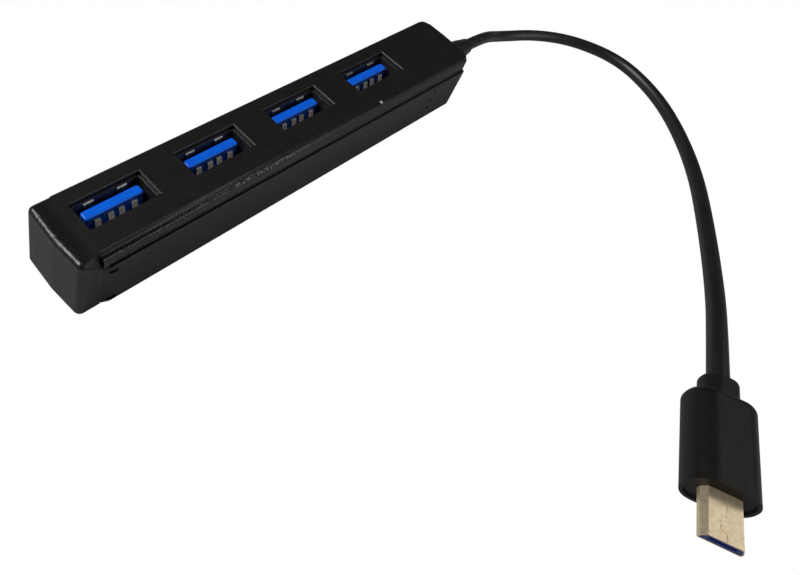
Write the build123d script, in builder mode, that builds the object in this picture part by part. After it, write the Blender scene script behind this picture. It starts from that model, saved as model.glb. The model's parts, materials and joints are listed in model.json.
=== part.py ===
from build123d import *
import math
import os

# USB hub: a slim bar with four upward-facing sockets and a captive lead ending in a micro-B plug.
# Millimetres. X runs along the bar towards the lead, +Z is up, and the origin is the middle of
# the bar's underside. Each piece is its own solid or group of solids in its own file.

os.makedirs("parts", exist_ok=True)

# Housing
BODY_LENGTH = 97.6
BODY_WIDTH = 15.0
BODY_HEIGHT = 12.5
END_LEFT = -BODY_LENGTH / 2
END_RIGHT = BODY_LENGTH / 2
TRAY_LEFT = -44.3
TRAY_TOP = 9.4
TRAY_WALL = 1.2
FLOOR = 1.2
SEAM_GAP = 0.1
COVER_HALF = 7.05
COVER_PLATE = 1.5
LIP_OUTER = 6.15
LIP_INNER = 5.35
LIP_BOTTOM = 7.9
GROOVE_END = 17.7

# Sockets
PORT_X = [-36.5, -16.1, 4.3, 24.7]
PORT_Y = 1.05
PORT_WIDTH = 13.0
PORT_DEPTH = 5.5
PORT_SHEET = 0.25
PORT_TOP = 11.7
CUTOUT_GAP = 0.1
TONGUE_TOP = 11.1
TONGUE_WIDTH = 11.1
TONGUE_THICK = 1.84
TONGUE_Y = 1.72
TONGUE_CORNER = 0.5
TONGUE_TIP_ROUND = 0.35
SOCKET_BASE_TOP = 5.0
CONTACT_X = [-3.5, -1.0, 1.0, 3.5]
CONTACT_WIDTH = 1.0
CONTACT_THICK = 0.3
CONTACT_TOP = 10.2
CONTACT_BULGE = 0.45
BULGE_BOTTOM = 7.0
BULGE_PEAK = 9.0
CONTACT_Y = TONGUE_Y - (TONGUE_THICK + CONTACT_THICK) / 2
LEG_X = 5.2
LEG_Y = (PORT_DEPTH - PORT_SHEET) / 2
LEG_WIDTH = 1.2
FINGER_X = [-3.25, 3.05]
FINGER_WIDTH = 1.9
FINGER_ROOT = 6.0

# Circuit board and what stands on it
BOARD_BOTTOM = 1.6
BOARD_TOP = 2.6
BOARD_LEFT = -42.4
BOARD_RIGHT = 45.0
BOARD_WIDTH = 11.8
PIN_TIP = 1.3
HOLE_MARGIN = 0.2
LEDGE_X = [-38.0, -26.3, -5.9, 14.5, 32.5]
LEDGE_Y = 5.3
CHIP_X = 38.2
CHIP_LEAD_PITCH = 0.64
WIRE_PAD_X = 42.2
WIRE_PITCH = 1.0
WIRE_DIAMETER = 0.56

# Indicator
LED_X = 19.7
LED_Y = -6.2
LED_CHIP_Y = -4.6
LIGHT_ROD = 0.7
LIGHT_ARM_LOW = 10.3
LIGHT_ARM_HIGH = 10.9

# Lead and its strain relief
CABLE_DIAMETER = 3.0
CABLE_Z = 5.6
CABLE_START = 44.2
RELIEF_END = 60.7
RELIEF_FLANGE = [45.3, 47.2]
RELIEF_ROOT = 3.4
RELIEF_TIP = 1.75
CABLE_POINTS = [
    (60.7, 0.0, 5.6),
    (68.0, 0.0, 5.6),
    (78.2, 0.2, 1.8),
    (89.2, -4.3, 1.55),
    (97.5, -11.4, 1.5),
    (102.3, -22.0, 1.5),
    (99.6, -33.2, 1.5),
    (93.2, -43.0, 1.5),
    (82.2, -53.8, 1.5),
    (68.2, -63.2, 1.5),
    (52.0, -72.6, 1.8),
    (39.2, -77.3, 3.75),
    (30.9, -81.2, 3.75),
]

# Micro-B plug, lying flat where the lead ends and pointing the same way; distances from its tip
PLUG_WIDTH = 11.8
PLUG_HEIGHT = 7.5
PLUG_CORNER = 3.6
PLUG_FRONT = -7.8
PLUG_REAR = -26.0
NECK_WIDTH = 6.4
NECK_HEIGHT = 5.2
NECK_CORNER = 2.4
NECK_END = -30.2
SHELL_RISE = 0.45
SHELL_WIDE = 6.85
SHELL_NARROW = 5.5
SHELL_HEIGHT = 1.8
SHELL_SHEET = 0.15
SHELL_REAR = -11.5
INSULATOR_FRONT = -0.05
CORE_WIDTH = 9.8
CORE_HEIGHT = 5.7
CORE_CORNER = 2.7
CORE_REAR = -25.0
FACE_RECESS = 0.35
FACE_RIM = 0.6
SLOT_DEPTH = 4.5
PLUG_AHEAD = (Vector(*CABLE_POINTS[-1]) - Vector(*CABLE_POINTS[-2])).normalized()
PLUG_TIP = Vector(*CABLE_POINTS[-1]) - PLUG_AHEAD * NECK_END


def save(piece, name):
    """Label a finished piece and write it as its own STEP file."""
    piece.part.label = name
    export_step(piece.part, f"parts/{name}.step")


def cross_plane(x):
    """A YZ section plane at x whose own x is the model's Y and whose own y is Z."""
    return Plane(origin=(x, 0, 0), x_dir=(0, 1, 0), z_dir=(1, 0, 0))


def plug_section(distance, rise=0.0):
    """A section plane across the plug, a distance ahead of its tip (negative is behind)."""
    across = Vector(0, 0, 1).cross(PLUG_AHEAD)
    middle = PLUG_TIP + PLUG_AHEAD * distance + Vector(0, 0, rise)
    return Plane(origin=middle, x_dir=across, z_dir=PLUG_AHEAD)


def rounded_bar(plane, width, height, radius, length, mode=Mode.ADD):
    """Extrude a rounded rectangle along the plane's normal in the current part."""
    with BuildSketch(plane) as outline:
        RectangleRounded(width, height, radius)
    extrude(outline.sketch, amount=length, mode=mode)


def block(low, high, mode=Mode.ADD):
    """A box between two corners in the current part."""
    size = [b - a for a, b in zip(low, high)]
    middle = tuple((a + b) / 2 for a, b in zip(low, high))
    with Locations(middle):
        Box(*size, mode=mode)


# ---------------------------------------------------------------- top cover
COVER_END = END_RIGHT - 2.6
BLOCK_HALF = 6.95
OUTSIDE = 9.0

# Near top edge: a deep concave band at the left that fades to a plain soft edge at the right
BAND_DEEP = [
    (-5.74, 12.5), (-5.87, 12.38), (-6.0, 11.85), (-6.3, 11.5), (-6.65, 11.5), (-6.95, 11.15), (-7.05, 10.5),
]
BAND_FADED = [
    (-5.74, 12.5), (-5.87, 12.499), (-6.2, 12.49), (-6.6, 12.4), (-6.88, 12.13), (-7.02, 11.6), (-7.05, 10.5),
]


# Scoop across the end block's near top edge, from the corner to where the shoulder begins
SCOOP_SHALLOW = [(-6.75, 12.6), (-6.83, 12.45), (-6.93, 12.35), (-7.1, 12.3)]
SCOOP_DEEP = [(-5.8, 12.6), (-5.95, 11.6), (-6.3, 10.3), (-7.1, 9.2)]


def draw_scoop(hollow):
    """The scoop's section: a concave curve with the waste outside it."""
    top, low = hollow[0], hollow[-1]
    with BuildLine() as outline:
        Spline(*hollow)
        Polyline(low, (-OUTSIDE, low[1]), (-OUTSIDE, 14), (top[0], 14), top)
    make_face(outline.edges())


def draw_cover_outline(near_edge):
    """The cover's outside section above the seam: a small bevel, then the near edge as a spline."""
    seam = TRAY_TOP + SEAM_GAP
    with BuildLine() as outline:
        base = Line((-COVER_HALF, seam), (COVER_HALF, seam))
        side = Line(base @ 1, (COVER_HALF, BODY_HEIGHT - 0.9))
        corner = TangentArc(side @ 1, (COVER_HALF - 0.9, BODY_HEIGHT), tangent=side % 1)
        bevel = Polyline(corner @ 1, *near_edge[:2])
        shoulder = Spline(bevel @ 1, *near_edge[2:])
        Line(shoulder @ 1, base @ 0)
    make_face(outline.edges())


# Full-height block at the left end, a shallow V in plan
with BuildPart() as end_block:
    with BuildSketch():
        with BuildLine():
            Polyline(
                (TRAY_LEFT, -BLOCK_HALF), (END_LEFT + 0.45, -BLOCK_HALF), (END_LEFT, -0.5),
                (END_LEFT + 0.35, BLOCK_HALF), (TRAY_LEFT, BLOCK_HALF), close=True,
            )
        make_face()
    extrude(amount=BODY_HEIGHT)
    corners = end_block.edges().filter_by(Axis.Z).filter_by_position(Axis.X, END_LEFT + 0.2, END_LEFT + 1)
    fillet(corners, radius=1.1)
    top_edges = end_block.faces().sort_by(Axis.Z)[-1].edges()
    fillet(top_edges.filter_by_position(Axis.X, END_LEFT - 1, TRAY_LEFT - 0.5), radius=1.0)
    with BuildSketch(cross_plane(END_LEFT + 0.1)):
        draw_scoop(SCOOP_SHALLOW)
    with BuildSketch(cross_plane(TRAY_LEFT)):
        draw_scoop(SCOOP_DEEP)
    loft(ruled=True, mode=Mode.SUBTRACT)

with BuildPart() as top_cover:
    # bar above the seam
    with BuildSketch(cross_plane(TRAY_LEFT)):
        draw_cover_outline(BAND_DEEP)
    with BuildSketch(cross_plane(GROOVE_END)):
        draw_cover_outline(BAND_FADED)
    loft(ruled=True)
    with BuildSketch(cross_plane(GROOVE_END)):
        draw_cover_outline(BAND_FADED)
    extrude(amount=END_RIGHT - GROOVE_END)
    # right end bowed in plan, with a rounded near corner
    with BuildSketch(Plane.XY.offset(TRAY_TOP)):
        with BuildLine():
            Polyline(
                (END_RIGHT + 1, -OUTSIDE), (END_RIGHT - 1.6, -OUTSIDE), (END_RIGHT - 1.5, -6.7),
                (END_RIGHT - 0.7, -5.8), (END_RIGHT - 0.2, -1.5), (END_RIGHT, 1.0), (END_RIGHT, 4.8),
                (END_RIGHT - 0.5, 6.1), (END_RIGHT - 1.6, 7.0), (END_RIGHT - 1.6, OUTSIDE),
                (END_RIGHT + 1, OUTSIDE), close=True,
            )
        make_face()
    extrude(amount=BODY_HEIGHT, mode=Mode.SUBTRACT)
    # inside hollow, open underneath
    ceiling = BODY_HEIGHT - COVER_PLATE
    block((TRAY_LEFT + 1.0, -LIP_INNER, 0), (COVER_END, LIP_INNER, ceiling), Mode.SUBTRACT)
    # lip that drops inside the tray along both long sides
    for side in (-1, 1):
        edges = sorted((side * LIP_INNER, side * LIP_OUTER))
        block((TRAY_LEFT + 1.5, edges[0], LIP_BOTTOM), (COVER_END, edges[1], ceiling))
    add(end_block.part)
    # socket cut-outs
    with Locations(*[(x, PORT_Y, BODY_HEIGHT) for x in PORT_X]):
        Box(PORT_WIDTH + 2 * CUTOUT_GAP, PORT_DEPTH + 2 * CUTOUT_GAP, 4, mode=Mode.SUBTRACT)
    chamfer(top_cover.faces().sort_by(Axis.Z)[-1].inner_wires().edges(), length=0.12)
    # indicator hole and the channel its light rod drops into
    with BuildSketch(Plane.XY.offset(BODY_HEIGHT)):
        with Locations((LED_X, LED_Y)):
            Circle(LIGHT_ROD / 2 + 0.05)
    extrude(amount=-3, mode=Mode.SUBTRACT)
    channel = LIGHT_ROD / 2 + 0.1
    block(
        (LED_X - channel, LED_Y - channel, LIP_BOTTOM - 0.1),
        (LED_X + channel, -LIP_INNER + 0.1, LIGHT_ARM_HIGH + 0.5), Mode.SUBTRACT,
    )
    # arch over the strain relief
    with BuildSketch(cross_plane(END_RIGHT - 4)):
        with Locations((0, CABLE_Z)):
            Circle(RELIEF_ROOT + 0.1)
    extrude(amount=6, mode=Mode.SUBTRACT)

# ---------------------------------------------------------------- bottom cover
NOTCH_X = -42.6
NOTCH_WIDTH = 1.6
NOTCH_HEIGHT = 0.7
DOT_X = 38.1
TRAY_HALF = BODY_WIDTH / 2
NEAR_WALL = Plane(origin=(0, -TRAY_HALF, 0), x_dir=(1, 0, 0), z_dir=(0, -1, 0))

with BuildPart() as bottom_cover:
    with BuildSketch():
        with BuildLine():
            Polyline(
                (TRAY_LEFT, -6.98), (TRAY_LEFT + 1.4, -TRAY_HALF), (END_RIGHT - 0.8, -TRAY_HALF),
                (END_RIGHT - 0.2, -1.5), (END_RIGHT, 1.0), (END_RIGHT, 5.0), (END_RIGHT - 0.5, TRAY_HALF),
                (TRAY_LEFT + 1.4, TRAY_HALF), (TRAY_LEFT, 6.98), close=True,
            )
        make_face()
    extrude(amount=TRAY_TOP)
    uprights = bottom_cover.edges().filter_by(Axis.Z)
    fillet(uprights.filter_by_position(Axis.X, TRAY_LEFT + 1, 0), radius=2.0)
    uprights = bottom_cover.edges().filter_by(Axis.Z)
    fillet(uprights.filter_by_position(Axis.X, END_RIGHT - 1, END_RIGHT - 0.4), radius=0.7)
    fillet(bottom_cover.edges().group_by(Axis.Z)[0], radius=0.35)
    fillet(bottom_cover.faces().sort_by(Axis.Z)[-1].edges().filter_by(Axis.X), radius=0.3)
    inner_half = TRAY_HALF - TRAY_WALL
    block((TRAY_LEFT + 1.0, -inner_half, FLOOR), (END_RIGHT - 1.4, inner_half, 20), Mode.SUBTRACT)
    # ledges that carry the board
    for x in LEDGE_X:
        for y in (-LEDGE_Y, LEDGE_Y):
            block((x - 1.2, y - 0.9, FLOOR), (x + 1.2, y + 0.9, BOARD_BOTTOM))
    # latch windows near the left end and three small ejector dots at the right
    with BuildSketch(NEAR_WALL):
        with Locations((NOTCH_X, 1.05), (NOTCH_X, 8.2)):
            Rectangle(NOTCH_WIDTH, NOTCH_HEIGHT)
        with Locations((DOT_X, 3.5), (DOT_X, 5.7), (DOT_X, 8.0)):
            Circle(0.35)
    extrude(amount=-0.6, mode=Mode.SUBTRACT)
    # U-notch for the strain relief
    with BuildSketch(cross_plane(END_RIGHT - 4)):
        with Locations((0, CABLE_Z)):
            Circle(RELIEF_ROOT + 0.1)
        with Locations((0, CABLE_Z + 5)):
            Rectangle(2 * RELIEF_ROOT + 0.2, 10)
    extrude(amount=6, mode=Mode.SUBTRACT)

save(top_cover, "top_cover")
save(bottom_cover, "bottom_cover")

# ---------------------------------------------------------------- circuit board
with BuildPart() as circuit_board:
    block((BOARD_LEFT, -BOARD_WIDTH / 2, BOARD_BOTTOM), (BOARD_RIGHT, BOARD_WIDTH / 2, BOARD_TOP))
    pins = [(x + dx, CONTACT_Y) for x in PORT_X for dx in CONTACT_X]
    legs = [(x + dx, PORT_Y + dy) for x in PORT_X for dx in (-LEG_X, LEG_X) for dy in (-LEG_Y, LEG_Y)]
    with BuildSketch(Plane.XY.offset(BOARD_TOP)):
        with Locations(*pins):
            Rectangle(CONTACT_WIDTH + HOLE_MARGIN, CONTACT_THICK + HOLE_MARGIN)
        with Locations(*legs):
            Rectangle(LEG_WIDTH + HOLE_MARGIN, PORT_SHEET + HOLE_MARGIN)
    extrude(amount=-2, mode=Mode.SUBTRACT)
save(circuit_board, "circuit_board")


# ---------------------------------------------------------------- sockets
def build_socket(number, x):
    """Shell, tongue and contacts of one vertical type A socket."""
    inner_width = PORT_WIDTH - 2 * PORT_SHEET
    inner_depth = PORT_DEPTH - 2 * PORT_SHEET
    far_wall = PORT_Y + inner_depth / 2
    with BuildPart() as shell:
        with BuildSketch(Plane(origin=(x, PORT_Y, BOARD_TOP))):
            RectangleRounded(PORT_WIDTH, PORT_DEPTH, 0.7)
            RectangleRounded(inner_width, inner_depth, 0.4, mode=Mode.SUBTRACT)
        extrude(amount=PORT_TOP - BOARD_TOP)
        # four legs through the board
        with BuildSketch(Plane(origin=(x, PORT_Y, PIN_TIP))):
            with GridLocations(2 * LEG_X, 2 * LEG_Y, 2, 2):
                Rectangle(LEG_WIDTH, PORT_SHEET)
        extrude(amount=BOARD_TOP + 0.2 - PIN_TIP)
        # two spring fingers on the far wall, leaning in towards the mouth
        for dx in FINGER_X:
            with BuildSketch(cross_plane(x + dx - FINGER_WIDTH / 2)):
                with BuildLine():
                    Polyline(
                        (far_wall + 0.1, FINGER_ROOT), (far_wall + 0.1, PORT_TOP - 0.3),
                        (far_wall, PORT_TOP - 0.35), (far_wall - 0.2, PORT_TOP - 0.55),
                        (far_wall - 0.25, PORT_TOP - 1.2), close=True,
                    )
                make_face()
            extrude(amount=FINGER_WIDTH)
    save(shell, f"usb_a_shell_{number}")

    with BuildPart() as tongue:
        base = Plane(origin=(x, PORT_Y, BOARD_TOP))
        rounded_bar(base, inner_width - 0.1, inner_depth - 0.1, 0.4, SOCKET_BASE_TOP - BOARD_TOP)
        with BuildSketch(Plane(origin=(x, TONGUE_Y, BOARD_TOP))):
            RectangleRounded(TONGUE_WIDTH, TONGUE_THICK, TONGUE_CORNER)
        extrude(amount=TONGUE_TOP - BOARD_TOP)
        fillet(tongue.faces().sort_by(Axis.Z)[-1].edges(), radius=TONGUE_TIP_ROUND)
        with BuildSketch(Plane.XY):
            with Locations(*[(x + dx, CONTACT_Y) for dx in CONTACT_X]):
                Rectangle(CONTACT_WIDTH, CONTACT_THICK)
        extrude(amount=SOCKET_BASE_TOP, mode=Mode.SUBTRACT)
    save(tongue, f"usb_a_tongue_{number}")

    with BuildPart() as contacts:
        near = CONTACT_Y - CONTACT_THICK / 2
        far = CONTACT_Y + CONTACT_THICK / 2
        for dx in CONTACT_X:
            with BuildSketch(cross_plane(x + dx - CONTACT_WIDTH / 2)):
                with BuildLine():
                    Polyline(
                        (near, PIN_TIP), (near, BULGE_BOTTOM), (near - CONTACT_BULGE, BULGE_PEAK),
                        (near, CONTACT_TOP), (far, CONTACT_TOP), (far - CONTACT_BULGE, BULGE_PEAK),
                        (far, BULGE_BOTTOM), (far, PIN_TIP), close=True,
                    )
                make_face()
            extrude(amount=CONTACT_WIDTH)
    save(contacts, f"usb_a_contacts_{number}")


for number, x in enumerate(PORT_X, start=1):
    build_socket(number, x)

# ---------------------------------------------------------------- parts on the board
with BuildPart() as hub_controller_chip:
    block((CHIP_X - 2.6, -2.0, BOARD_TOP + 0.15), (CHIP_X + 2.6, 2.0, BOARD_TOP + 1.6))
    chamfer(hub_controller_chip.faces().sort_by(Axis.Z)[-1].edges(), length=0.2)
save(hub_controller_chip, "hub_controller_chip")

with BuildPart() as chip_leads:
    with BuildSketch(Plane.XY.offset(BOARD_TOP)):
        for y in (-2.5, 2.5):
            with Locations((CHIP_X, y)):
                with GridLocations(CHIP_LEAD_PITCH, 1, 8, 1):
                    Rectangle(0.26, 1.0)
    extrude(amount=0.5)
save(chip_leads, "chip_leads")

with BuildPart() as crystal:
    rounded_bar(Plane(origin=(35.5, 4.4, BOARD_TOP)), 3.2, 2.0, 0.3, 0.9)
save(crystal, "crystal")

with BuildPart() as capacitors:
    with BuildSketch(Plane.XY.offset(BOARD_TOP)):
        with Locations(*[(x, -4.5) for x in PORT_X + [34.6, 42.2]]):
            Rectangle(1.6, 0.8)
    extrude(amount=0.8)
save(capacitors, "capacitors")

with BuildPart() as resistors:
    with BuildSketch(Plane.XY.offset(BOARD_TOP)):
        with Locations((-26.3, 4.4), (-5.9, 4.4), (14.5, 4.4), (40.6, 4.4)):
            Rectangle(1.6, 0.8)
    extrude(amount=0.5)
save(resistors, "resistors")

with BuildPart() as status_led:
    block((LED_X - 0.8, LED_CHIP_Y - 0.4, BOARD_TOP), (LED_X + 0.8, LED_CHIP_Y + 0.4, BOARD_TOP + 0.6))
save(status_led, "status_led")

with BuildPart() as led_light_pipe:
    half = LIGHT_ROD / 2
    with BuildSketch(Plane.XY.offset(LIGHT_ARM_LOW)):
        with Locations((LED_X, LED_Y)):
            Circle(half)
    extrude(amount=BODY_HEIGHT - 0.05 - LIGHT_ARM_LOW)
    block((LED_X - half, LED_Y, LIGHT_ARM_LOW), (LED_X + half, LED_CHIP_Y + half, LIGHT_ARM_HIGH))
    with BuildSketch(Plane(origin=(LED_X, LED_CHIP_Y, BOARD_TOP + 0.8))):
        Rectangle(LIGHT_ROD, LIGHT_ROD)
    extrude(amount=LIGHT_ARM_HIGH - BOARD_TOP - 0.8)
save(led_light_pipe, "led_light_pipe")

# ---------------------------------------------------------------- strain relief and wires
with BuildPart() as hub_strain_relief:
    with BuildSketch(cross_plane(RELIEF_FLANGE[0])):
        with Locations((0, CABLE_Z)):
            RectangleRounded(9.0, 6.6, 1.0)
    extrude(amount=RELIEF_FLANGE[1] - RELIEF_FLANGE[0])
    with BuildSketch(Plane.XZ):
        with BuildLine():
            Polyline(
                (RELIEF_FLANGE[1] - 0.2, CABLE_Z), (RELIEF_FLANGE[1] - 0.2, CABLE_Z + RELIEF_ROOT - 0.1),
                (END_RIGHT + 0.4, CABLE_Z + RELIEF_ROOT - 0.1), (END_RIGHT + 4.0, CABLE_Z + 2.75),
                (END_RIGHT + 8.8, CABLE_Z + 2.3), (END_RIGHT + 10.8, CABLE_Z + RELIEF_TIP + 0.15),
                (RELIEF_END, CABLE_Z + RELIEF_TIP),
                (RELIEF_END, CABLE_Z), close=True,
            )
        make_face()
    revolve(axis=Axis((0, 0, CABLE_Z), (1, 0, 0)))
    with BuildSketch(cross_plane(RELIEF_FLANGE[0])):
        with Locations((0, CABLE_Z)):
            Circle(CABLE_DIAMETER / 2)
    extrude(amount=RELIEF_END - RELIEF_FLANGE[0], mode=Mode.SUBTRACT)
save(hub_strain_relief, "hub_strain_relief")

with BuildPart() as cable_root:
    with BuildSketch(cross_plane(CABLE_START)):
        with Locations((0, CABLE_Z)):
            Circle(CABLE_DIAMETER / 2)
    extrude(amount=RELIEF_END - CABLE_START)
save(cable_root, "cable_root")

with BuildPart() as lead_wires:
    for place in (-1.5, -0.5, 0.5, 1.5):
        pad_y = WIRE_PITCH * place
        start_y = 0.66 * pad_y
        with BuildLine() as route:
            FilletPolyline(
                (CABLE_START, start_y, CABLE_Z), (CABLE_START - 0.9, start_y, CABLE_Z),
                (WIRE_PAD_X, pad_y, 4.2), (WIRE_PAD_X, pad_y, BOARD_TOP), radius=0.4,
            )
        with BuildSketch(Plane(origin=route.line @ 0, z_dir=route.line % 0)):
            Circle(WIRE_DIAMETER / 2)
        sweep()
save(lead_wires, "lead_wires")

# ---------------------------------------------------------------- lead
def corner_radii(points):
    """The largest arc that each corner's two runs allow."""
    spots = [Vector(*p) for p in points]
    radii = []
    for before, here, after in zip(spots, spots[1:], spots[2:]):
        turn = (here - before).get_angle(after - here)
        shorter = min((here - before).length, (after - here).length)
        radii.append(0.45 * shorter / math.tan(math.radians(turn) / 2))
    return radii


CABLE_RADII = corner_radii(CABLE_POINTS)
with BuildPart() as cable:
    with BuildLine() as cable_route:
        FilletPolyline(*CABLE_POINTS, radius=CABLE_RADII)
    with BuildSketch(Plane(origin=cable_route.line @ 0, z_dir=cable_route.line % 0)):
        Circle(CABLE_DIAMETER / 2)
    sweep()
save(cable, "cable")
print("cable radii", [round(r, 1) for r in CABLE_RADII])
CABLE_LENGTH = sum(edge.length for edge in cable_route.edges())
CABLE_SECTION = math.pi * CABLE_DIAMETER**2 / 4
print("cable length", round(CABLE_LENGTH, 2))
print("cable volume", round(cable.part.volume, 2), "against", round(CABLE_SECTION * CABLE_LENGTH, 2))

# ---------------------------------------------------------------- plug
# Dovetail seam on the plug's shell: distance ahead of the tip, then sideways
SEAM_WIDTH = 0.1
SEAM_DEPTH = 0.12
SEAM_PATH = [
    (-8.0, 0.1), (-4.1, 0.1), (-3.75, -0.4), (-3.2, -1.0), (-2.6, -0.75), (-1.8, -0.95), (-1.55, 0.0),
    (-1.3, 0.1), (0.1, 0.1),
]


def draw_shell_outline(inset):
    """The plug shell's section: wide below, with chamfers beside the narrower upper flat."""
    wide = SHELL_WIDE / 2 - inset
    narrow = SHELL_NARROW / 2 - inset * 0.6
    half = SHELL_HEIGHT / 2 - inset
    with BuildLine() as outline:
        Polyline(
            (-wide, -half), (wide, -half), (wide, -0.15), (narrow, half), (-narrow, half), (-wide, -0.15),
            close=True,
        )
    make_face(outline.edges())


with BuildPart() as plug_core:
    core_length = PLUG_FRONT - FACE_RECESS - CORE_REAR
    rounded_bar(plug_section(CORE_REAR), CORE_WIDTH, CORE_HEIGHT, CORE_CORNER, core_length)
    rounded_bar(plug_section(NECK_END), NECK_WIDTH, NECK_HEIGHT, NECK_CORNER, CORE_REAR - NECK_END)
    back = plug_core.faces().sort_by(lambda face: (face.center() - PLUG_TIP).length)[-1]
    fillet(back.edges(), radius=0.9)
    with BuildSketch(plug_section(SHELL_REAR, SHELL_RISE)):
        draw_shell_outline(0)
    extrude(amount=-SHELL_REAR, mode=Mode.SUBTRACT)
save(plug_core, "plug_core")

with BuildPart() as plug_sleeve:
    rounded_bar(plug_section(PLUG_REAR), PLUG_WIDTH, PLUG_HEIGHT, PLUG_CORNER, PLUG_FRONT - PLUG_REAR)
    rear = plug_sleeve.faces().sort_by(lambda face: (face.center() - PLUG_TIP).length)[-1]
    fillet(rear.edges(), radius=1.6)
    rounded_bar(plug_section(CORE_REAR), CORE_WIDTH, CORE_HEIGHT, CORE_CORNER, -CORE_REAR, Mode.SUBTRACT)
    mouth_width = PLUG_WIDTH - 2 * FACE_RIM
    mouth_height = PLUG_HEIGHT - 2 * FACE_RIM
    mouth = plug_section(PLUG_FRONT - FACE_RECESS)
    rounded_bar(mouth, mouth_width, mouth_height, PLUG_CORNER - FACE_RIM, 2, Mode.SUBTRACT)
    rounded_bar(plug_section(PLUG_REAR - 1), NECK_WIDTH, NECK_HEIGHT, NECK_CORNER, 3, Mode.SUBTRACT)
save(plug_sleeve, "plug_sleeve")

with BuildPart() as plug_shell:
    with BuildSketch(plug_section(SHELL_REAR, SHELL_RISE)):
        draw_shell_outline(0)
    extrude(amount=-SHELL_REAR)
    with BuildSketch(plug_section(SHELL_REAR, SHELL_RISE)):
        draw_shell_outline(SHELL_SHEET)
    extrude(amount=-SHELL_REAR, mode=Mode.SUBTRACT)
    # dovetailed seam of the rolled sheet, along the upper flat
    shell_top = PLUG_TIP + Vector(0, 0, SHELL_RISE + SHELL_HEIGHT / 2)
    with BuildSketch(Plane(origin=shell_top, x_dir=PLUG_AHEAD, z_dir=(0, 0, 1))):
        with BuildLine():
            Polyline(*SEAM_PATH)
        trace(line_width=SEAM_WIDTH)
    extrude(amount=-SEAM_DEPTH, mode=Mode.SUBTRACT)
save(plug_shell, "plug_shell")

with BuildPart() as plug_insulator:
    with BuildSketch(plug_section(SHELL_REAR, SHELL_RISE)):
        draw_shell_outline(SHELL_SHEET)
    extrude(amount=INSULATOR_FRONT - SHELL_REAR)
    slot = plug_section(INSULATOR_FRONT - SLOT_DEPTH, SHELL_RISE)
    rounded_bar(slot, 4.4, 0.6, 0.15, SLOT_DEPTH + 1, Mode.SUBTRACT)
save(plug_insulator, "plug_insulator")

with BuildPart() as plug_contacts:
    with BuildSketch(plug_section(INSULATOR_FRONT - SLOT_DEPTH, SHELL_RISE)):
        with Locations((0, -0.2)):
            with GridLocations(0.65, 1, 5, 1):
                Rectangle(0.35, 0.2)
    extrude(amount=SLOT_DEPTH - 0.5)
save(plug_contacts, "plug_contacts")
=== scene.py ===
import bpy
import json
import math
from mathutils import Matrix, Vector


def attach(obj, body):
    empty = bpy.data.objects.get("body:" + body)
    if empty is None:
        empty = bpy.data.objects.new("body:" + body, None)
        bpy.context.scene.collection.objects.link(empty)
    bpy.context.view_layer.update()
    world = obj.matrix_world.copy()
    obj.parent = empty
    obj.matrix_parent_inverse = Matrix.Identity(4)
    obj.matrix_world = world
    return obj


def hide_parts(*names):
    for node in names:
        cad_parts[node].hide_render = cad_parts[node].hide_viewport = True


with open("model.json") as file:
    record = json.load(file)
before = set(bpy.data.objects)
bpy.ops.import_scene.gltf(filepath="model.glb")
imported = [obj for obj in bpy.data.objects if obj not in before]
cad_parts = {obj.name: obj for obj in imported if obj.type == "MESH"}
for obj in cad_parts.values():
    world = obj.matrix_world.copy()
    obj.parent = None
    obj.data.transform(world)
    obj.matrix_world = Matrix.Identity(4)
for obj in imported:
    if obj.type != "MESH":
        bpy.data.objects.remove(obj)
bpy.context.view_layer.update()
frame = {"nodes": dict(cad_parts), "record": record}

# ---------------------------------------------------------------- camera
CAMERA_PLACE = (-0.0865, -0.0568, 0.1033)
CAMERA_TURN = (38.0, -12.0, -42.4)
LENS_MM = 34.3
SENSOR_MM = 36.0
SHIFT = (0.1846, -0.0635)


def add_camera():
    data = bpy.data.cameras.new("camera")
    data.sensor_width = SENSOR_MM
    data.lens = LENS_MM
    data.shift_x, data.shift_y = SHIFT
    data.clip_start = 0.001
    camera = bpy.data.objects.new("camera", data)
    camera.location = CAMERA_PLACE
    camera.rotation_euler = [math.radians(turn) for turn in CAMERA_TURN]
    bpy.context.scene.collection.objects.link(camera)
    bpy.context.scene.camera = camera


add_camera()

# ---------------------------------------------------------------- lead
CABLE_DIAMETER = 0.003
# The route's points with the jacket's thickness at each, as a share of the diameter
CABLE_POINTS = [
    ((0.0607, 0.0, 0.0056), 0.88),
    ((0.0680, 0.0, 0.0056), 0.86),
    ((0.0782, 0.0002, 0.0018), 0.86),
    ((0.0892, -0.0043, 0.00155), 0.86),
    ((0.0975, -0.0114, 0.0015), 0.87),
    ((0.1023, -0.0220, 0.0015), 0.89),
    ((0.0996, -0.0332, 0.0015), 0.92),
    ((0.0932, -0.0430, 0.0015), 0.95),
    ((0.0822, -0.0538, 0.0015), 1.01),
    ((0.0682, -0.0632, 0.0015), 1.07),
    ((0.0520, -0.0726, 0.0018), 1.13),
    ((0.0392, -0.0773, 0.00375), 1.19),
    ((0.0309, -0.0812, 0.00375), 1.22),
]


def add_cable():
    curve = bpy.data.curves.new("lead", "CURVE")
    curve.dimensions = "3D"
    curve.bevel_depth = 1.0  # each point's radius is then the tube's own radius in metres
    curve.bevel_resolution = 10
    curve.resolution_u = 24
    curve.use_fill_caps = True
    spline = curve.splines.new("NURBS")
    spline.points.add(len(CABLE_POINTS) - 1)
    for point, (place, share) in zip(spline.points, CABLE_POINTS):
        point.co = (*place, 1)
        point.radius = share * CABLE_DIAMETER / 2
    spline.order_u = 3
    spline.use_endpoint_u = True
    lead = bpy.data.objects.new("lead", curve)
    bpy.context.scene.collection.objects.link(lead)
    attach(lead, "root")
    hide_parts("cable")
    return lead


lead = add_cable()


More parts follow.
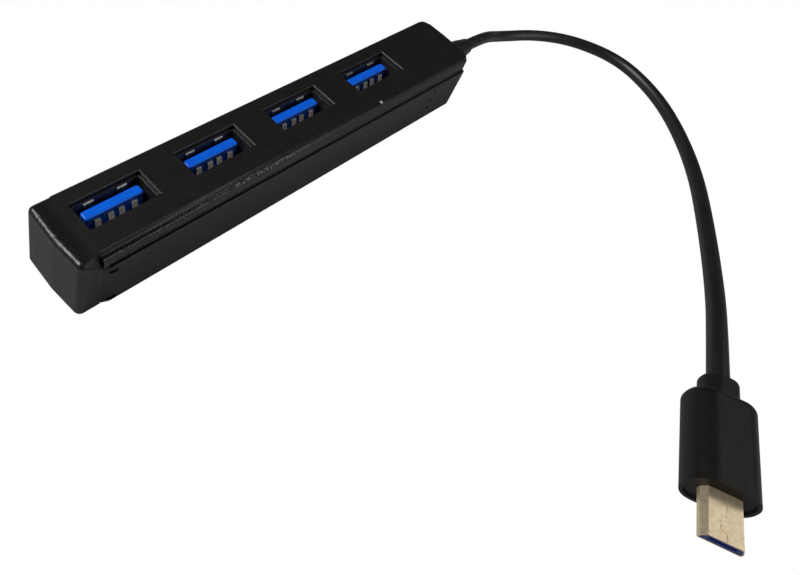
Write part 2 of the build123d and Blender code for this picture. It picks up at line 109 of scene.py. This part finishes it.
# ---------------------------------------------------------------- finishes
PAPER_GLOW = (1, 0.96, 0.9, 1)
FLOOR_HALF = 20.0
WORLD_STRENGTH = 0.05


class Finish:
    """One material's nodes, with short ways to make and join them. Lengths are in metres."""

    def __init__(self, name, **values):
        self.material = bpy.data.materials.new(name)
        self.material.use_nodes = True
        self.tree = self.material.node_tree
        self.shader = self.tree.nodes["Principled BSDF"]
        self.place = self.new("ShaderNodeTexCoord").outputs["Object"]
        for key, value in values.items():
            self.shader.inputs[key.replace("_", " ")].default_value = value

    def new(self, kind, **settings):
        node = self.tree.nodes.new(kind)
        for key, value in settings.items():
            setattr(node, key, value)
        return node

    def join(self, source, target):
        self.tree.links.new(source, target)

    def stretched(self, share):
        """The object's coordinates with each axis scaled by its share."""
        node = self.new("ShaderNodeVectorMath", operation="MULTIPLY")
        self.join(self.place, node.inputs[0])
        node.inputs[1].default_value = share
        return node.outputs["Vector"]

    def noise(self, size, detail=3.0, rough=0.5, share=None):
        """Cloudy noise, 0 to 1, with lumps of about this size."""
        node = self.new("ShaderNodeTexNoise")
        node.inputs["Scale"].default_value = 1 / size
        node.inputs["Detail"].default_value = detail
        node.inputs["Roughness"].default_value = rough
        self.join(self.stretched(share) if share else self.place, node.inputs["Vector"])
        return node.outputs["Fac"]

    def cells(self, size, share=None):
        """Distance to the nearest cell's middle, as in leather pebbles."""
        node = self.new("ShaderNodeTexVoronoi", feature="SMOOTH_F1")
        node.inputs["Scale"].default_value = 1 / size
        self.join(self.stretched(share) if share else self.place, node.inputs["Vector"])
        return node.outputs["Distance"]

    def ramp(self, source, start, end, low=0.0, high=1.0):
        """Low up to the start, rising to high at the end."""
        node = self.new("ShaderNodeMapRange", clamp=True)
        node.inputs["From Min"].default_value = start
        node.inputs["From Max"].default_value = end
        node.inputs["To Min"].default_value = low
        node.inputs["To Max"].default_value = high
        self.join(source, node.inputs["Value"])
        return node.outputs["Result"]

    def along(self, axis, start, end, low=0.0, high=1.0):
        """A ramp along one of the object's axes."""
        node = self.new("ShaderNodeSeparateXYZ")
        self.join(self.place, node.inputs[0])
        return self.ramp(node.outputs[axis], start, end, low, high)

    def math(self, operation, first, second):
        node = self.new("ShaderNodeMath", operation=operation)
        for value, socket in ((first, node.inputs[0]), (second, node.inputs[1])):
            if isinstance(value, float):
                socket.default_value = value
            else:
                self.join(value, socket)
        return node.outputs[0]

    def colour(self, source, first, second):
        """Base colour from the first to the second as the source goes from 0 to 1."""
        node = self.new("ShaderNodeMix", data_type="RGBA")
        node.inputs["A"].default_value = (*first, 1)
        node.inputs["B"].default_value = (*second, 1)
        self.join(source, node.inputs["Factor"])
        self.join(node.outputs["Result"], self.shader.inputs["Base Color"])

    def roughness(self, source):
        self.join(source, self.shader.inputs["Roughness"])

    def bump(self, *layers):
        """Stacked bumps, each a height source from 0 to 1 and its depth."""
        normal = None
        for height, depth in layers:
            node = self.new("ShaderNodeBump")
            node.inputs["Distance"].default_value = depth
            node.inputs["Strength"].default_value = 1.0
            self.join(height, node.inputs["Height"])
            if normal is not None:
                self.join(normal, node.inputs["Normal"])
            normal = node.outputs["Normal"]
        self.join(normal, self.shader.inputs["Normal"])


def moulded(name, first, second, rough, grain, depth, **values):
    """A moulded plastic or rubber: faint mottling, uneven gloss and a fine surface grain."""
    f = Finish(name, **values)
    f.colour(f.ramp(f.noise(0.002), 0.3, 0.7), first, second)
    f.roughness(f.ramp(f.noise(0.0008), 0.3, 0.7, rough - 0.04, rough + 0.04))
    f.bump((f.noise(grain, 4.0, 0.6), depth))
    return f.material


def plated(name, first, second, rough, metallic=1.0):
    """A plated sheet metal: slight tarnish, rolling marks and soft dents."""
    f = Finish(name, Metallic=metallic)
    f.colour(f.ramp(f.noise(0.0015), 0.3, 0.7), first, second)
    f.roughness(f.ramp(f.noise(0.0006, 4.0), 0.3, 0.7, rough - 0.05, rough + 0.07))
    f.bump((f.noise(0.0012, 2.0), 0.00001), (f.noise(0.0002, 3.0), 0.000002))
    return f.material


def cover_plastic():
    """Matte black, with leathery wrinkles on the near shoulder and grain on the left end's rim."""
    f = Finish("cover_plastic", Specular_IOR_Level=0.45)
    f.colour(f.ramp(f.noise(0.003), 0.3, 0.7), (0.0056, 0.005, 0.0043), (0.0076, 0.007, 0.006))
    # the shoulder's grain fades out to the right and stops at the end block
    near_edge = f.math("MULTIPLY", f.along("Y", -0.0061, -0.0064), f.along("X", 0.007, -0.006))
    shoulder = f.math("MULTIPLY", near_edge, f.along("X", -0.0450, -0.0442))
    rim = f.math("MULTIPLY", f.along("X", -0.0450, -0.0466), f.along("Z", 0.0109, 0.0117, 0.0, 0.7))
    grained = f.math("MAXIMUM", shoulder, rim)
    matte = f.ramp(f.noise(0.0008), 0.3, 0.7, 0.44, 0.52)
    f.roughness(f.math("SUBTRACT", matte, f.math("MULTIPLY", grained, 0.2)))
    wrinkles = f.noise(0.0007, 3.0, 0.6, (1.0, 0.4, 0.4))
    pebbles = f.cells(0.00045)
    f.bump(
        (f.noise(0.00018, 3.0, 0.6), 0.000006),
        (f.math("MULTIPLY", shoulder, wrinkles), 0.00011),
        (f.math("MULTIPLY", grained, pebbles), 0.00008),
    )
    return f.material


def floor_paper():
    """Pale paper with a faint warm glow, which the camera sees as plain white."""
    f = Finish("floor_paper", Roughness=0.9, Emission_Color=PAPER_GLOW, Emission_Strength=0.11)
    f.colour(f.noise(0.05), (0.34, 0.34, 0.34), (0.37, 0.37, 0.37))
    white = f.new("ShaderNodeEmission")
    white.inputs["Strength"].default_value = 1.0
    blend = f.new("ShaderNodeMixShader")
    seen = f.new("ShaderNodeLightPath").outputs["Is Camera Ray"]
    f.join(seen, blend.inputs[0])
    f.join(f.shader.outputs[0], blend.inputs[1])
    f.join(white.outputs[0], blend.inputs[2])
    f.join(blend.outputs[0], f.tree.nodes["Material Output"].inputs["Surface"])
    return f.material


# Pairs of colours that a finish is mottled between
BLACK = ((0.0068, 0.0062, 0.0054), (0.0095, 0.0088, 0.0078))
SOLDER_MASK = ((0.004, 0.03, 0.012), (0.006, 0.05, 0.02))
RESIN = ((0.015, 0.015, 0.015), (0.025, 0.025, 0.024))
RED_PVC = ((0.25, 0.02, 0.015), (0.35, 0.03, 0.02))
GREY_METAL = ((0.55, 0.55, 0.54), (0.7, 0.7, 0.68))
FINISHES = {
    "cover_plastic": cover_plastic(),
    "tray_plastic": moulded("tray_plastic", *BLACK, 0.45, 0.0002, 0.000005, Specular_IOR_Level=0.4),
    "board_laminate": moulded("board_laminate", *SOLDER_MASK, 0.35, 0.0003, 0.000005),
    "chip_resin": moulded("chip_resin", *RESIN, 0.6, 0.0001, 0.000005),
    "tinned_metal": plated("tinned_metal", *GREY_METAL, 0.35),
    "ceramic": moulded("ceramic", (0.35, 0.25, 0.15), (0.45, 0.33, 0.2), 0.5, 0.0002, 0.000004),
    "led_body": moulded("led_body", (0.7, 0.7, 0.62), (0.8, 0.8, 0.72), 0.4, 0.0002, 0.000003),
    "light_rod": moulded("light_rod", (0.3, 0.31, 0.32), (0.4, 0.41, 0.42), 0.3, 0.0002, 0.000003),
    "soft_pvc": moulded("soft_pvc", *BLACK, 0.45, 0.0002, 0.000005),
    "cable_jacket": moulded("cable_jacket", *BLACK, 0.42, 0.0003, 0.000006),
    "wire_insulation": moulded("wire_insulation", *RED_PVC, 0.4, 0.0002, 0.000003),
    # painted shade: the socket shells' metal colour is kept far darker than plated steel, standing in
    # for the dim inside of the ports and dulling the fingers' highlights
    "socket_metal": plated("socket_metal", (0.17, 0.16, 0.14), (0.25, 0.235, 0.205), 0.42),
    "socket_blue": moulded("socket_blue", (0.0, 0.1, 0.72), (0.0, 0.14, 0.82), 0.35, 0.0002, 0.000004),
    "contact_gold": plated("contact_gold", (0.85, 0.8, 0.7), (0.95, 0.9, 0.8), 0.4, 0.15),
    "plug_gloss": moulded("plug_gloss", *BLACK, 0.42, 0.0006, 0.000003, Specular_IOR_Level=0.25),
    "plug_metal": plated("plug_metal", (0.92, 0.74, 0.48), (0.98, 0.84, 0.6), 0.36, 0.85),
    "plug_blue": moulded("plug_blue", (0.004, 0.02, 0.14), (0.006, 0.03, 0.2), 0.35, 0.0002, 0.000003),
}
for row in frame["record"]["subparts"]:
    for slot in frame["nodes"][row["node"]].material_slots:
        slot.material = FINISHES[row["material_slot"]]
lead.data.materials.append(FINISHES["cable_jacket"])


# ---------------------------------------------------------------- floor and light
def add_floor():
    half = FLOOR_HALF
    corners = [(-half, -half, 0), (half, -half, 0), (half, half, 0), (-half, half, 0)]
    mesh = bpy.data.meshes.new("floor")
    mesh.from_pydata(corners, [], [(0, 1, 2, 3)])
    mesh.materials.append(floor_paper())
    floor = bpy.data.objects.new("floor", mesh)
    bpy.context.scene.collection.objects.link(floor)


def add_light(name, place, target, size, power, colour=(1, 1, 1)):
    """A rectangular soft light that the camera itself doesn't see; power in watts."""
    data = bpy.data.lights.new(name, "AREA")
    data.shape = "RECTANGLE"
    data.size, data.size_y = size
    data.energy = power
    data.color = colour
    light = bpy.data.objects.new(name, data)
    light.location = place
    light.rotation_euler = (Vector(target) - Vector(place)).to_track_quat("-Z", "Y").to_euler()
    light.visible_camera = False
    bpy.context.scene.collection.objects.link(light)


def add_world(strength):
    world = bpy.data.worlds.new("studio")
    world.use_nodes = True
    backdrop = world.node_tree.nodes["Background"].inputs
    backdrop["Color"].default_value = (1, 1, 1, 1)
    backdrop["Strength"].default_value = strength
    bpy.context.scene.world = world


add_floor()
add_light("key_softbox", (-0.42, 0.32, 0.56), (0.0, -0.03, 0.0), (0.35, 0.35), 5.5)
add_light("near_softbox", (0.28, -0.60, 0.27), (0.0, -0.03, 0.0), (0.3, 0.3), 1.15)
add_light("right_softbox", (0.42, -0.24, 0.43), (0.01, -0.09, 0.0), (0.25, 0.25), 0.2, (1.0, 0.97, 0.93))
add_world(WORLD_STRENGTH)
bpy.context.scene.view_settings.view_transform = "Standard"
